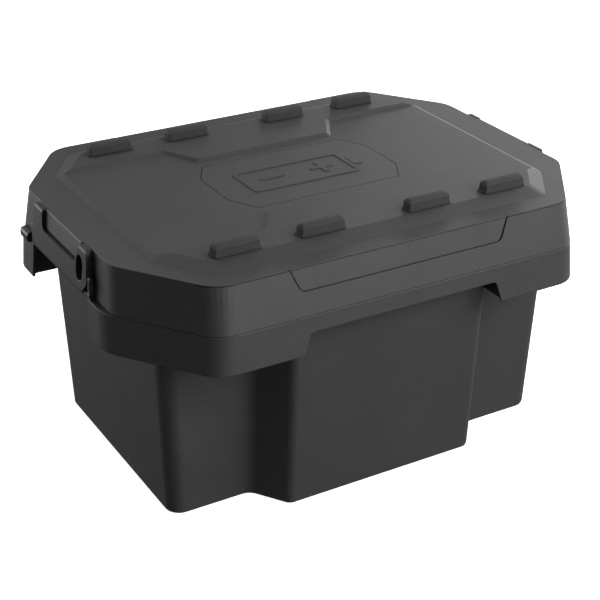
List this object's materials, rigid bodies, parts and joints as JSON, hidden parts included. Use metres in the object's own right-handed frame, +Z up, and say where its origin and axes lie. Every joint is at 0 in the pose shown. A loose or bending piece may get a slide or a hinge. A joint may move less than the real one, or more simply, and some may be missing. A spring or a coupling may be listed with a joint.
{
  "type": "battery box",
  "caption": "Plastic storage tub with a flared rim and a lift-off octagonal lid held by swinging end latches, for housing batteries.",
  "frame": {"origin": "centre of the footprint, on the surface the tub stands on", "axes": "+X along the long side towards the right-hand latch, +Y from the front to the back, +Z up"},
  "size_m": [0.592, 0.4444, 0.3143],
  "materials": {
    "tub_plastic": "fine-grained matte, dark charcoal",
    "lid_plastic": "fine-grained matte, dark charcoal",
    "latch_plastic": "satin, dark charcoal",
    "badge_plastic": "matte, same colour as the lid",
    "pad_rubber": "matte black rubber",
    "seal_rubber": "soft black sealing rubber",
    "rod_metal": "blackened steel"
  },
  "bodies": {
    "base": {"tub": "tub_plastic", "latch_rod_left": "rod_metal", "latch_rod_right": "rod_metal"},
    "cover": {"lid": "lid_plastic", "lid_seal": "seal_rubber", "badge_plate": "badge_plastic", "pad_front_1": "pad_rubber", "pad_front_2": "pad_rubber", "pad_front_3": "pad_rubber", "pad_front_4": "pad_rubber", "pad_back_1": "pad_rubber", "pad_back_2": "pad_rubber", "pad_back_3": "pad_rubber", "pad_back_4": "pad_rubber"},
    "latch_a": {"latch_left": "latch_plastic"},
    "latch_b": {"latch_right": "latch_plastic"}
  },
  "joints": [
    {"name": "lid_lift", "type": "slide", "parent": "base", "child": "cover", "axis": [0, 0, 1], "range_m": [0, 0.3]},
    {"name": "latch_left_swing", "type": "hinge", "parent": "base", "child": "latch_a", "pos_m": [-0.289, 0, 0.25], "axis": [0, -1, 0], "range_deg": [0, 170]},
    {"name": "latch_right_swing", "type": "hinge", "parent": "base", "child": "latch_b", "pos_m": [0.289, 0, 0.25], "axis": [0, 1, 0], "range_deg": [0, 170]}
  ]
}
